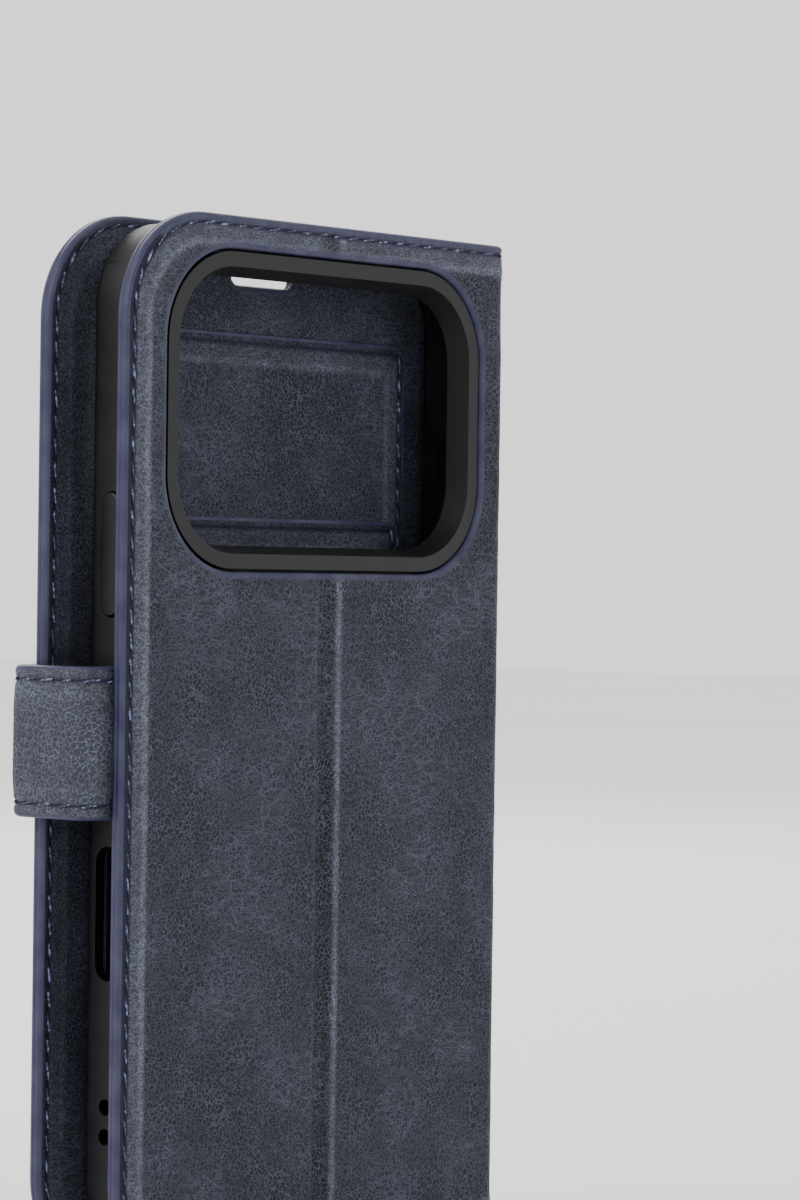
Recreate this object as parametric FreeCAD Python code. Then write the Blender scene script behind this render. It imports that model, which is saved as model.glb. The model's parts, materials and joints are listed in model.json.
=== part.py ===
"""Wallet case for a smartphone: a moulded shell glued into a folding leather cover with a closing strap.

Frame: +Z up the case's height, +X towards the opening edge and the strap, +Y out of the back panel.
The origin is under the middle of the closed case, at the height of its lower edge. Millimetres.
"""

import FreeCAD, Part
import math
import os

VEC = FreeCAD.Vector

# The phone that the case is made for (the phone itself isn't part of the case)
PHONE_WIDTH = 71.9
PHONE_THICKNESS = 8.75
PHONE_HEIGHT = 150.0
PHONE_CORNER = 11.0

# Moulded shell
SEAT_GAP = 0.2
SHELL_WALL = 1.7
SHELL_BACK = 0.9
SHELL_LIP = 0.15
LIP_WIDTH = 0.7
SHELL_EDGE_ROUND = 1.3

# Folding cover
CASE_HEIGHT = 156.0
SKIN = 0.9
BOARD = 0.8
LINING = 0.7
TAPE = 0.6
FRONT_GAP = 0.4
POCKET = 0.3
SPINE_GAP = 0.6
BACK_OVERHANG = 5.4
FLAP_OVERHANG = 7.0
FOLD_FROM_EDGE = 42.5
PANEL_CORNER = 16.0
COVER_ROUND = 2.4
FOLD_SLIT = 0.3
CREASE_SLIT = 0.35
BOARD_INSET = 1.6
BOARD_SLIT = 1.3

# Camera window: leather cut-out and the shell's raised surround inside it
WINDOW_FROM_EDGE = 8.4
WINDOW_WIDTH = 69.6
WINDOW_HEIGHT = 47.2
WINDOW_TOP_STRIP = 5.0
WINDOW_CORNER = 14.0
SURROUND_GAP = 0.35
SURROUND_SUNK = 0.4
SURROUND_TOP = 1.9
SURROUND_SLOPE = 1.7

# Closing strap
STRAP_WIDTH = 22.0
STRAP_TOP = 66.0
STRAP = 2.2
STRAP_SKIN = 0.9
STRAP_BOARD = 0.7
STRAP_SIDE_GAP = 1.1
STRAP_TAB_GAP = 0.25
STRAP_REACH = 36.0
STRAP_TIP_ROUND = 8.5
BACK_BEND = 3.7
FRONT_BEND = 3.6
STRAP_SLIT = 0.3
STRAP_CLEAR = 0.35
TONGUE_LENGTH = 13.0

# Button covers: height of the centre above the lower edge, length
BUTTON_WIDTH = 3.6
BUTTON_GAP = 0.15
POWER_BUTTON = (106.0, 18.0)
SPINE_BUTTONS = {
    "action_button_cover": (121.0, 8.0),
    "volume_up_cover": (107.5, 11.5),
    "volume_down_cover": (93.0, 11.5),
}
BUTTON_EDGE_ROUND = 0.35
OPENING_SIDE_PROUD = 0.5
SPINE_SIDE_PROUD = 0.25

# Cut-outs and holes of the shell
CONTROL_CENTRE = 54.0
CONTROL_LENGTH = 19.5
CONTROL_WIDTH = 4.8
LANYARD_TOP = 26.0
LANYARD_PITCH = 4.3
LANYARD_RADIUS = 1.2
PORT_WIDTH = 13.0
PORT_DEPTH = 6.4
SOUND_WIDTH = 13.5
SOUND_DEPTH = 3.2
SOUND_OFFSET = 18.0

# Flap details
EARPIECE_LENGTH = 14.0
EARPIECE_HEIGHT = 3.0
EARPIECE_DROP = 7.1
CARD_POCKET_WIDTH = 64.0
CARD_POCKET_STEP = 14.0
CARD_POCKET_TOP = 112.0
CARD_POCKET_BASE = 12.0
CARD_MOUTH_CORNER = 1.0
POCKET_CORNER = 3.0
CASH_POCKET_BASE = 8.0
CASH_POCKET_TOP = 140.0
CASH_POCKET_SPINE_MARGIN = 6.0
CASH_POCKET_EDGE_MARGIN = 10.0
CATCH_PLATE = (22.0, 0.5, 14.0)
MAGNET = (16.0, 0.7, 10.0)
CATCH_FROM_STRAP_MIDDLE = 3.0

# Foam tape: margins from the shell's edges and the fold, and the notch round the strap's end
TAPE_MARGIN = 3.0
TAPE_NOTCH = 0.5

# Worked-out sizes
PANEL = SKIN + BOARD + LINING
SEAT_WIDTH = PHONE_WIDTH + 2 * SEAT_GAP
SEAT_HEIGHT = PHONE_HEIGHT + 2 * SEAT_GAP
SHELL_WIDTH = SEAT_WIDTH + 2 * SHELL_WALL
SHELL_HEIGHT = SEAT_HEIGHT + 2 * SHELL_WALL
SHELL_DEPTH = SHELL_BACK + PHONE_THICKNESS + SHELL_LIP
POCKETS = 4 * POCKET
COVER_DEPTH = PANEL + TAPE + SHELL_DEPTH + FRONT_GAP + POCKETS + PANEL
CASE_WIDTH = PANEL + SPINE_GAP + SHELL_WIDTH + FLAP_OVERHANG + STRAP_SIDE_GAP + STRAP
CASE_DEPTH = COVER_DEPTH + STRAP_TAB_GAP + STRAP

# Levels along X, from the spine to the strap
SPINE_X = -CASE_WIDTH / 2
SHELL_LEFT = SPINE_X + PANEL + SPINE_GAP
SHELL_RIGHT = SHELL_LEFT + SHELL_WIDTH
SEAT_X = (SHELL_LEFT + SHELL_RIGHT) / 2
BACK_EDGE = SHELL_RIGHT + BACK_OVERHANG
FLAP_EDGE = SHELL_RIGHT + FLAP_OVERHANG
STRAP_OUT = CASE_WIDTH / 2
CREASE_X = BACK_EDGE - FOLD_FROM_EDGE

# Levels along Y, from the back panel to the strap's tab
BACK_Y = CASE_DEPTH / 2
SHELL_BACK_Y = BACK_Y - PANEL - TAPE
SHELL_FRONT_Y = SHELL_BACK_Y - SHELL_DEPTH
SEAT_BACK_Y = SHELL_BACK_Y - SHELL_BACK
SEAT_Y = SEAT_BACK_Y - PHONE_THICKNESS / 2
FLAP_Y = BACK_Y - COVER_DEPTH
FLAP_INNER_Y = FLAP_Y + PANEL
TAB_Y = FLAP_Y - STRAP_TAB_GAP
TAB_OUT_Y = TAB_Y - STRAP

# Levels along Z
SHELL_BASE = (CASE_HEIGHT - SHELL_HEIGHT) / 2
SEAT_BASE = SHELL_BASE + SHELL_WALL
STRAP_HIGH = CASE_HEIGHT - STRAP_TOP
STRAP_LOW = STRAP_HIGH - STRAP_WIDTH
STRAP_Z = (STRAP_HIGH + STRAP_LOW) / 2
WINDOW_HIGH = CASE_HEIGHT - WINDOW_TOP_STRIP
WINDOW_LOW = WINDOW_HIGH - WINDOW_HEIGHT
WINDOW_RIGHT = BACK_EDGE - WINDOW_FROM_EDGE
WINDOW_LEFT = WINDOW_RIGHT - WINDOW_WIDTH
CATCH_X = FLAP_EDGE - STRAP_REACH / 2 - CATCH_FROM_STRAP_MIDDLE

# Overshoot of cutting plugs, and the tolerance for finding edges by their place
FAR = 30.0
OVER = 1.0
NEAR = 1e-4


def box(x0, x1, y0, y1, z0, z1):
    """Box between two opposite corners."""
    return Part.makeBox(x1 - x0, y1 - y0, z1 - z0, VEC(x0, y0, z0))


def rounded_wire(x0, x1, z0, z1, radii, y):
    """Closed outline in an XZ plane. radii are those of the corners (x0,z0), (x1,z0), (x1,z1), (x0,z1)."""
    a, b, c, d = radii
    k = 1 - math.sqrt(0.5)
    points = [(x0 + a, z0), (x1 - b, z0), (x1, z0 + b), (x1, z1 - c)]
    points += [(x1 - c, z1), (x0 + d, z1), (x0, z1 - d), (x0, z0 + a)]
    middles = {
        1: (x1 - k * b, z0 + k * b),
        3: (x1 - k * c, z1 - k * c),
        5: (x0 + k * d, z1 - k * d),
        7: (x0 + k * a, z0 + k * a),
    }
    edges = []
    for i, start in enumerate(points):
        end = points[(i + 1) % 8]
        if math.dist(start, end) < NEAR:
            continue
        p, q = VEC(start[0], y, start[1]), VEC(end[0], y, end[1])
        if i in middles:
            edges.append(Part.Arc(p, VEC(middles[i][0], y, middles[i][1]), q).toShape())
        else:
            edges.append(Part.LineSegment(p, q).toShape())
    return Part.Wire(edges)


def slab(x0, x1, z0, z1, radii, y0, y1):
    """Rounded plate that stands in the XZ plane and is y1 - y0 thick."""
    return Part.Face(rounded_wire(x0, x1, z0, z1, radii, y0)).extrude(VEC(0, y1 - y0, 0))


def prism(points, z0, z1):
    """Plan outline of straight sides, drawn up from z0 to z1."""
    corners = [VEC(x, y, z0) for x, y in points]
    return Part.Face(Part.makePolygon(corners + corners[:1])).extrude(VEC(0, 0, z1 - z0))


def pill(centre, length, width, axis, depth):
    """Slot-shaped plug with round ends. axis x: long along Z. axis z: long along X. axis y: long along X."""
    r, half = width / 2, length / 2 - width / 2
    long_way = VEC(0, 0, half) if axis == "x" else VEC(half, 0, 0)
    out = {"x": VEC(1, 0, 0), "y": VEC(0, 1, 0), "z": VEC(0, 0, 1)}[axis]
    start = VEC(*centre) - out * (depth / 2)
    ends = [Part.makeCylinder(r, depth, start + long_way * s, out) for s in (-1, 1)]
    side = out.cross(long_way).normalize() * r
    low, high = start - long_way, start + long_way
    corners = [low - side, high - side, high + side, low + side]
    bar = Part.Face(Part.makePolygon(corners + corners[:1])).extrude(out * depth)
    return bar.fuse(ends).removeSplitter()


# Cover panels: layers of one wrap, divided at the folds

def wrap_core(offset):
    """Everything inside the cover's outer face moved in by offset, with its two spine corners rounded."""
    r = COVER_ROUND - offset
    x, y0, y1 = SPINE_X + offset, FLAP_Y + offset, BACK_Y - offset
    core = box(x, FLAP_EDGE + FAR, y0, y1, 0, CASE_HEIGHT)
    if r < 0.05:
        return core
    upright = [e for e in core.Edges if e.BoundBox.ZLength > CASE_HEIGHT / 2]
    return core.makeFillet(r, [e for e in upright if abs(e.BoundBox.XMax - x) < NEAR])


def wrap_layer(outer, inner):
    """The wrap's material between two depths under its outer face."""
    return wrap_core(outer).cut(wrap_core(inner))


def area(name, fold_slit, crease_slit):
    """Plan region of one stiff area: back, wing, spine or flap, set back from its folds by the slits."""
    s = fold_slit * math.sqrt(2)
    reach = PANEL + 4
    left, right = SPINE_X - reach, FLAP_EDGE + FAR - OVER
    low, high = BACK_Y - reach, BACK_Y + reach
    front_low, front_high = FLAP_Y - reach, FLAP_Y + reach
    if name == "back":
        start = CREASE_X + crease_slit
        points = [(start, low), (right, low), (right, high), (start, high)]
    elif name == "wing":
        end = CREASE_X - crease_slit
        points = [(SPINE_X + reach + s, low), (end, low), (end, high), (left + s, high)]
    elif name == "spine":
        right = SPINE_X + reach - s
        points = [(left, front_low + s), (right, front_high), (right, low), (left, high - s)]
    else:
        points = [(SPINE_X + reach + s, front_high), (left + s, front_low)]
        points += [(right, front_low), (right, front_high)]
    return prism(points, -OVER, CASE_HEIGHT + OVER)


def panel_outline(edge, inset):
    """The panel's outline seen along Y: square at the spine and rounded at the opening edge."""
    r = PANEL_CORNER - inset
    z0, z1 = inset, CASE_HEIGHT - inset
    return slab(SPINE_X - FAR, edge - inset, z0, z1, (0, r, r, 0), -BACK_Y - FAR, BACK_Y + FAR)


def camera_window(grow):
    """Plug of the leather's camera cut-out, grown by a margin."""
    r = WINDOW_CORNER + grow
    x0, x1, z0, z1 = WINDOW_LEFT - grow, WINDOW_RIGHT + grow, WINDOW_LOW - grow, WINDOW_HIGH + grow
    return slab(x0, x1, z0, z1, (r, r, r, r), BACK_Y - PANEL - TAPE - OVER, BACK_Y + OVER)


def earpiece_slot():
    """Plug of the slot in the flap in front of the phone's earpiece."""
    centre = (SEAT_X, FLAP_Y + PANEL / 2, CASE_HEIGHT - EARPIECE_DROP)
    return pill(centre, EARPIECE_LENGTH, EARPIECE_HEIGHT, "y", PANEL + 2 * OVER)


def panel_layers(name):
    """Skin, board and lining of one stiff area of the cover."""
    edge = BACK_EDGE if name in ("back", "wing") else FLAP_EDGE
    bands = {"skin": (0, SKIN), "board": (SKIN, SKIN + BOARD), "lining": (SKIN + BOARD, PANEL)}
    layers = {}
    for layer, (outer, inner) in bands.items():
        stiff = layer == "board"
        fold = BOARD_SLIT if stiff else FOLD_SLIT
        crease = BOARD_SLIT if stiff else CREASE_SLIT
        shape = wrap_layer(outer, inner).common(area(name, fold, crease))
        shape = shape.common(panel_outline(edge, BOARD_INSET if stiff else 0))
        if name in ("back", "wing"):
            shape = shape.cut(camera_window(BOARD_INSET if stiff else 0))
        if name == "flap":
            shape = shape.cut(earpiece_slot())
        layers[layer] = shape
    return layers


# Moulded shell and its button covers

def shell_outline(inset, y0, y1):
    """Plate of the shell's outline moved in by inset."""
    r = PHONE_CORNER + SEAT_GAP + SHELL_WALL - inset
    x0, x1 = SHELL_LEFT + inset, SHELL_RIGHT - inset
    return slab(x0, x1, SHELL_BASE + inset, SHELL_BASE + SHELL_HEIGHT - inset, (r, r, r, r), y0, y1)


def surround():
    """Raised frame of the shell that fills the leather's camera cut-out."""
    g, r = SURROUND_GAP, WINDOW_CORNER - SURROUND_GAP
    x0, x1, z0, z1 = WINDOW_LEFT + g, WINDOW_RIGHT - g, WINDOW_LOW + g, WINDOW_HIGH - g
    return slab(x0, x1, z0, z1, (r, r, r, r), SHELL_BACK_Y - 0.1, BACK_Y - SURROUND_SUNK)


def surround_opening():
    """Plug of the camera opening, narrower at the phone than at its mouth."""
    wires = []
    for grow, y in ((0, BACK_Y + 0.5), (SURROUND_SLOPE, SEAT_BACK_Y - 0.5)):
        m = SURROUND_GAP + SURROUND_TOP + grow
        r = WINDOW_CORNER - m
        x0, x1, z0, z1 = WINDOW_LEFT + m, WINDOW_RIGHT - m, WINDOW_LOW + m, WINDOW_HIGH - m
        wires.append(rounded_wire(x0, x1, z0, z1, (r, r, r, r), y))
    return Part.makeLoft(wires, True, True)


def button_plug(side, centre, length, width, x0, x1):
    """Plug along X between two distances outward from the shell's middle, on side +1 or -1."""
    middle = SEAT_X + side * (x0 + x1) / 2
    return pill((middle, SEAT_Y, centre), length, width, "x", abs(x1 - x0))


def button_cover(side, centre, length, proud):
    """One button cover: a pill that fills its window in the wall and stands a little proud."""
    inner = SEAT_WIDTH / 2
    outer = SHELL_WIDTH / 2 + proud
    cover = button_plug(side, centre, length, BUTTON_WIDTH, inner, outer)
    face = SEAT_X + side * outer
    rim = [e for e in cover.Edges if abs(e.BoundBox.XMin - face) + abs(e.BoundBox.XMax - face) < NEAR]
    return cover.makeFillet(min(BUTTON_EDGE_ROUND, proud * 0.9), rim)


def inner_shell():
    """The shell: tray with a lip, raised camera surround, cut-outs, button windows and lanyard holes."""
    tray = shell_outline(0, SHELL_FRONT_Y, SHELL_BACK_Y)
    tray = tray.makeFillet(SHELL_EDGE_ROUND, [e for e in tray.Edges if e.BoundBox.YLength < NEAR])
    tray = tray.fuse(surround())
    tray = tray.cut(shell_outline(SHELL_WALL, SHELL_FRONT_Y + SHELL_LIP, SEAT_BACK_Y))
    tray = tray.cut(shell_outline(SHELL_WALL + LIP_WIDTH, SHELL_FRONT_Y - OVER, SEAT_BACK_Y))
    tray = tray.cut(surround_opening())
    window = 2 * BUTTON_GAP
    through = (SEAT_WIDTH / 2 - OVER, SHELL_WIDTH / 2 + OVER)
    bore = SHELL_WALL + 2 * OVER
    plugs = [button_plug(1, POWER_BUTTON[0], POWER_BUTTON[1] + window, BUTTON_WIDTH + window, *through)]
    for centre, length in SPINE_BUTTONS.values():
        plugs.append(button_plug(-1, centre, length + window, BUTTON_WIDTH + window, *through))
    plugs.append(button_plug(1, CONTROL_CENTRE, CONTROL_LENGTH, CONTROL_WIDTH, *through))
    for i in range(2):
        start = VEC(SHELL_RIGHT - SHELL_WALL - OVER, SEAT_Y, LANYARD_TOP - i * LANYARD_PITCH)
        plugs.append(Part.makeCylinder(LANYARD_RADIUS, bore, start, VEC(1, 0, 0)))
    low = SHELL_BASE + SHELL_WALL / 2
    plugs.append(pill((SEAT_X, SEAT_Y, low), PORT_WIDTH, PORT_DEPTH, "z", bore))
    for side in (-1, 1):
        centre = (SEAT_X + side * SOUND_OFFSET, SEAT_Y, low)
        plugs.append(pill(centre, SOUND_WIDTH, SOUND_DEPTH, "z", bore))
    for plug in plugs:
        tray = tray.cut(plug)
    return tray.removeSplitter()


def tongue_box(grow):
    """The strap's skived end under the shell, grown by a margin for the tape's notch."""
    x0, x1 = SHELL_RIGHT - TONGUE_LENGTH - grow, SHELL_RIGHT + OVER
    return box(x0, x1, SHELL_BACK_Y, BACK_Y - PANEL, STRAP_LOW - grow, STRAP_HIGH + grow)


def shell_tape():
    """Foam tape between the shell and the fixed half of the back panel, notched round the strap's end."""
    x0, x1 = CREASE_X + TAPE_MARGIN, SHELL_RIGHT - TAPE_MARGIN
    z0, z1 = SHELL_BASE + TAPE_MARGIN, WINDOW_LOW - TAPE_MARGIN
    return box(x0, x1, SHELL_BACK_Y, BACK_Y - PANEL, z0, z1).cut(tongue_box(TAPE_NOTCH))


# Strap: a band of constant thickness that runs along the back panel, round the side and over the flap

def strap_band(outer, inner):
    """The strap's material between two depths under its outer face, from the anchor to the tab's tip."""
    left = FLAP_EDGE - STRAP_REACH - 5
    cores = []
    for d in (outer, inner):
        x1, y0, y1 = STRAP_OUT - d, TAB_OUT_Y + d, BACK_Y - PANEL - d
        core = box(left, x1, y0, y1, STRAP_LOW, STRAP_HIGH)
        for y, radius in ((y0, FRONT_BEND - d), (y1, BACK_BEND - d)):
            upright = [e for e in core.Edges if e.BoundBox.ZLength > STRAP_WIDTH / 2]
            outer_side = [e for e in upright if e.BoundBox.XMin > x1 - NEAR]
            core = core.makeFillet(radius, [e for e in outer_side if abs(e.BoundBox.YMax - y) < NEAR])
        cores.append(core)
    return cores[0].cut(cores[1])


def strap_region(name):
    """Plan region of the strap's anchor, side or tab, set back from the two bends' middles."""
    s = STRAP_SLIT * math.sqrt(2)
    x, yb, yf = STRAP_OUT, BACK_Y - PANEL, TAB_OUT_Y
    reach = STRAP + 4
    if name == "anchor":
        left, low = SHELL_RIGHT + STRAP_CLEAR, yb - STRAP - OVER
        points = [(left, yb + OVER), (left, low), (x - STRAP - OVER - s, low), (x + OVER - s, yb + OVER)]
    elif name == "side":
        points = [(x - reach, yb - reach - s), (x + reach, yb + reach - s)]
        points += [(x + reach, yf - reach + s), (x - reach, yf + reach + s)]
    else:
        left, high = FLAP_EDGE - STRAP_REACH, yf + STRAP + OVER
        points = [(left, yf - OVER), (x + OVER - s, yf - OVER), (x - STRAP - OVER - s, high), (left, high)]
    return prism(points, STRAP_LOW - OVER, STRAP_HIGH + OVER)


def tab_outline(inset):
    """The tab's outline seen along Y, with its rounded tip towards the spine."""
    r = STRAP_TIP_ROUND - inset
    x0, x1 = FLAP_EDGE - STRAP_REACH + inset, STRAP_OUT + OVER
    return slab(x0, x1, STRAP_LOW + inset, STRAP_HIGH - inset, (r, 0, 0, r), TAB_OUT_Y - OVER, FLAP_Y + OVER)


def strap_anchor():
    """The strap's fixed end: thick beside the shell, skived to the tape's thickness under it."""
    thick = strap_band(0, STRAP).common(strap_region("anchor"))
    return thick.fuse(tongue_box(0)).removeSplitter()


def strap_parts():
    """Skin and lining of the side, and skin, lining, board and magnet of the tab."""
    middle = STRAP / 2
    side, tab = strap_region("side"), strap_region("tab").common(tab_outline(0))
    parts = {
        "strap_side_skin": strap_band(0, middle).common(side),
        "strap_side_lining": strap_band(middle, STRAP).common(side),
        "strap_tab_skin": strap_band(0, STRAP_SKIN).common(tab),
        "strap_tab_lining": strap_band(STRAP_SKIN + STRAP_BOARD, STRAP).common(tab),
    }
    y0, y1 = TAB_OUT_Y + STRAP_SKIN, TAB_OUT_Y + STRAP_SKIN + STRAP_BOARD
    board = tab_outline(BOARD_INSET).common(box(-FAR, STRAP_OUT - FRONT_BEND - OVER, y0, y1, 0, CASE_HEIGHT))
    magnet = catch_block(MAGNET, y0)
    parts["strap_tab_board"] = board.cut(magnet)
    parts["strap_magnet"] = magnet
    return parts


# Flap fittings

def catch_block(size, y):
    """Flat block of the catch at the strap's height: its length, thickness and height, from a level in Y."""
    long, thick, tall = size
    return box(CATCH_X - long / 2, CATCH_X + long / 2, y, y + thick, STRAP_Z - tall / 2, STRAP_Z + tall / 2)


def catch_plate():
    """Steel plate in the flap behind the strap's magnet."""
    return catch_block(CATCH_PLATE, FLAP_Y + SKIN)


def pockets():
    """The cash pocket's panel and three stepped card pockets on it, each open at its upper edge."""
    y, r, mouth = FLAP_INNER_Y, POCKET_CORNER, CARD_MOUTH_CORNER
    x0, x1 = SPINE_X + PANEL + CASH_POCKET_SPINE_MARGIN, FLAP_EDGE - CASH_POCKET_EDGE_MARGIN
    parts = {"cash_pocket": slab(x0, x1, CASH_POCKET_BASE, CASH_POCKET_TOP, (r, r, r, r), y, y + POCKET)}
    low, high = (x0 + x1 - CARD_POCKET_WIDTH) / 2, (x0 + x1 + CARD_POCKET_WIDTH) / 2
    for i, name in enumerate(("upper", "middle", "lower")):
        y += POCKET
        top = CARD_POCKET_TOP - i * CARD_POCKET_STEP
        corners = (r, r, mouth, mouth)
        parts["card_pocket_" + name] = slab(low, high, CARD_POCKET_BASE, top, corners, y, y + POCKET)
    return parts


def build():
    """Every node of the case by name."""
    nodes = {"inner_shell": inner_shell(), "shell_tape": shell_tape(), "strap_anchor": strap_anchor()}
    for name in ("back", "wing", "spine", "flap"):
        for layer, shape in panel_layers(name).items():
            nodes[name + "_" + layer] = shape
    nodes["catch_plate"] = catch_plate()
    nodes["flap_board"] = nodes["flap_board"].cut(catch_plate())
    nodes.update(pockets())
    nodes.update(strap_parts())
    nodes["power_button_cover"] = button_cover(1, *POWER_BUTTON, OPENING_SIDE_PROUD)
    for name, (centre, length) in SPINE_BUTTONS.items():
        nodes[name] = button_cover(-1, centre, length, SPINE_SIDE_PROUD)
    return nodes


def main():
    os.makedirs("parts", exist_ok=True)
    for name, shape in build().items():
        if not shape.isValid() or not shape.Solids:
            raise ValueError(name + " is not a valid solid")
        solid = shape.Solids[0] if len(shape.Solids) == 1 else shape
        solid.exportStep("parts/" + name + ".step")
        b = shape.BoundBox
        size = "%.2f..%.2f  %.2f..%.2f  %.2f..%.2f" % (b.XMin, b.XMax, b.YMin, b.YMax, b.ZMin, b.ZMax)
        print(name, len(shape.Solids), "%.1f mm3" % shape.Volume, size)


main()
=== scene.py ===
"""Wallet case for a smartphone: leather, thread, moulded shell and stage, built around the packed model."""

import json
import math

import bmesh
import bpy
from bpy.props import FloatProperty, FloatVectorProperty, IntProperty, PointerProperty
from mathutils import Matrix, Vector, noise
from mathutils.geometry import delaunay_2d_cdt


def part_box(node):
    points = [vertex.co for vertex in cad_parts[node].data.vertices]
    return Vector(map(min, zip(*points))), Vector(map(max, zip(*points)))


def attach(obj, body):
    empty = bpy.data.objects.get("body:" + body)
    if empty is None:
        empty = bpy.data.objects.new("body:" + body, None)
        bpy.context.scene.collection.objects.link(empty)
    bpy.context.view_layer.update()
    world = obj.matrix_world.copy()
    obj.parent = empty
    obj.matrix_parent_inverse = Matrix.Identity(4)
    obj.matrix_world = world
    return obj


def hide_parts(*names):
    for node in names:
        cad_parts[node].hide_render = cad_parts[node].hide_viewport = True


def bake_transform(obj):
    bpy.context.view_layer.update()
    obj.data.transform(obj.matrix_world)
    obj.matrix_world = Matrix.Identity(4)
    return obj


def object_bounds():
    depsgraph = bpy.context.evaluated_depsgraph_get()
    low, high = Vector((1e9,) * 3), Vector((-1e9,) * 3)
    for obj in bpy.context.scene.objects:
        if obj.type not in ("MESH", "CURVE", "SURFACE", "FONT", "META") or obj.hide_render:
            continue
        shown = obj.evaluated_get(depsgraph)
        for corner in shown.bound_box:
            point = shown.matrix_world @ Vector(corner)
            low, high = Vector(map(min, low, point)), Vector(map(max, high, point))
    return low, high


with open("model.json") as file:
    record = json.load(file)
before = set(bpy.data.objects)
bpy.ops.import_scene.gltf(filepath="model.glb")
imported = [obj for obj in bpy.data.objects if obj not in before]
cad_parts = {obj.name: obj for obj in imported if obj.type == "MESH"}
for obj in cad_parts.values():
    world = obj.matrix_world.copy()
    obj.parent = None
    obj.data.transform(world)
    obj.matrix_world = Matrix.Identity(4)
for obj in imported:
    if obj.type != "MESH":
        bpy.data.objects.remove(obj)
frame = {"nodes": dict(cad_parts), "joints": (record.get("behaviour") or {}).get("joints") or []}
CAD_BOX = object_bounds()

bl_info = {
    "name": "Wallet phone case",
    "version": (1, 0, 0),
    "blender": (4, 5, 0),
    "location": "3D View > Sidebar > Wallet case",
    "description": "Leather cover, strap, pockets, seams and moulded shell of a folding wallet case",
    "category": "Object",
}

MM = 0.001
JOINTS = {joint["name"]: Vector(joint["pos_m"]) for joint in frame["joints"] if joint["type"] == "hinge"}
FLAP_LOW, FLAP_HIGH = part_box("flap_skin")
TAB_LOW, TAB_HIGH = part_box("strap_tab_skin")
BACK_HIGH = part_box("back_skin")[1]
SPINE_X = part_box("spine_skin")[0].x
STRAP_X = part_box("strap_side_skin")[1].x
STRAP_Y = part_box("strap_anchor")[1].y
BACK_Y = BACK_HIGH.y
FLAP_Y = FLAP_LOW.y
CASE_HEIGHT = FLAP_HIGH.z
PANEL = BACK_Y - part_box("back_lining")[0].y
CREASE_X = JOINTS["kickstand_fold"].x


def length(name, words, default):
    """A size in metres that shows in the scene's units."""
    return FloatProperty(name=name, description=words, default=default, unit="LENGTH", precision=5)


def colour(name, words, default):
    """A colour as it looks on screen, 0 to 1 for each channel."""
    return FloatVectorProperty(name=name, description=words, default=default, size=3, min=0, max=1)


class CoverSettings(bpy.types.PropertyGroup):
    """Sizes of the folding cover."""
    corner: length("Panel corner", "Radius of the cover's four free corners", 16 * MM)
    fold_round: length("Fold radius", "Outside radius at the two spine folds", 2.4 * MM)
    skin: length("Skin", "Thickness of the outer leather", 0.85 * MM)
    lining: length("Lining", "Thickness of the inner leather", 0.65 * MM)
    window_inset: length("Window inset", "From the opening edge to the camera window", 8.4 * MM)
    window_width: length("Window width", "Width of the camera window", 69.6 * MM)
    window_height: length("Window height", "Height of the camera window", 47.2 * MM)
    window_strip: length("Window strip", "Leather left above the camera window", 5 * MM)
    window_corner: length("Window corner", "Corner radius of the camera window", 14 * MM)
    slot_length: length("Earpiece slot", "Length of the earpiece slot", 14 * MM)
    slot_height: length("Earpiece slot height", "Height of the earpiece slot", 3 * MM)
    slot_drop: length("Earpiece slot drop", "From the upper edge to the slot's middle", 7.1 * MM)
    slot_x: length("Earpiece slot place", "The slot's middle across the flap", -3.65 * MM)
    fold_reach: length("Fold reach", "Half the length of leather that bends at a spine fold", 1.6 * MM)
    crease_reach: length("Crease reach", "Half the width that bends at the stand's crease", 3.2 * MM)
    seam_x: length("Seam place", "Where the back panel's leather meets the corner's", -39.6 * MM)
    cell: length("Mesh cell", "Spacing of the leather's mesh on flat ground", 1.05 * MM)
    reach: length("Fine margin", "Width of the fine rows of mesh along the edges", 5.8 * MM)


class StrapSettings(bpy.types.PropertyGroup):
    """Sizes of the closing strap."""
    thickness: length("Thickness", "Strap thickness", 2.2 * MM)
    skin: length("Skin", "Thickness of the outer leather", 0.9 * MM)
    lining: length("Lining", "Thickness of the inner leather", 0.6 * MM)
    back_bend: length("Back bend", "Outside radius at the back panel", 3.7 * MM)
    front_bend: length("Front bend", "Outside radius at the flap", 3.6 * MM)
    tip_round: length("Tip corner", "Corner radius of the tab's tip", 8.5 * MM)
    bend_reach: length("Bend reach", "Half the length of strap that bends", 1.9 * MM)
    puff: length("Puff", "How far the strap's face swells between its seams", 0.28 * MM)


class SeamSettings(bpy.types.PropertyGroup):
    """Sewing thread and stitch sizes."""
    cover_inset: length("Cover seam", "From the cover's edge to the seam", 1.55 * MM)
    strap_inset: length("Strap seam", "From the strap's edge to the seam", 2.1 * MM)
    pocket_inset: length("Pocket seam", "From a pocket's edge to its seam", 1.4 * MM)
    pitch: length("Stitch pitch", "From one stitch to the next", 3.45 * MM)
    stitch: length("Stitch length", "Length of thread that shows", 2.8 * MM)
    thread: length("Thread", "Thickness of the sewing thread", 0.44 * MM)
    slant: FloatProperty(name="Slant", description="Turn of each stitch from the seam's line",
                         default=math.radians(9), subtype="ANGLE")
    seed: IntProperty(name="Seed", description="Start of the stitches' small differences", default=4)


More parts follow.
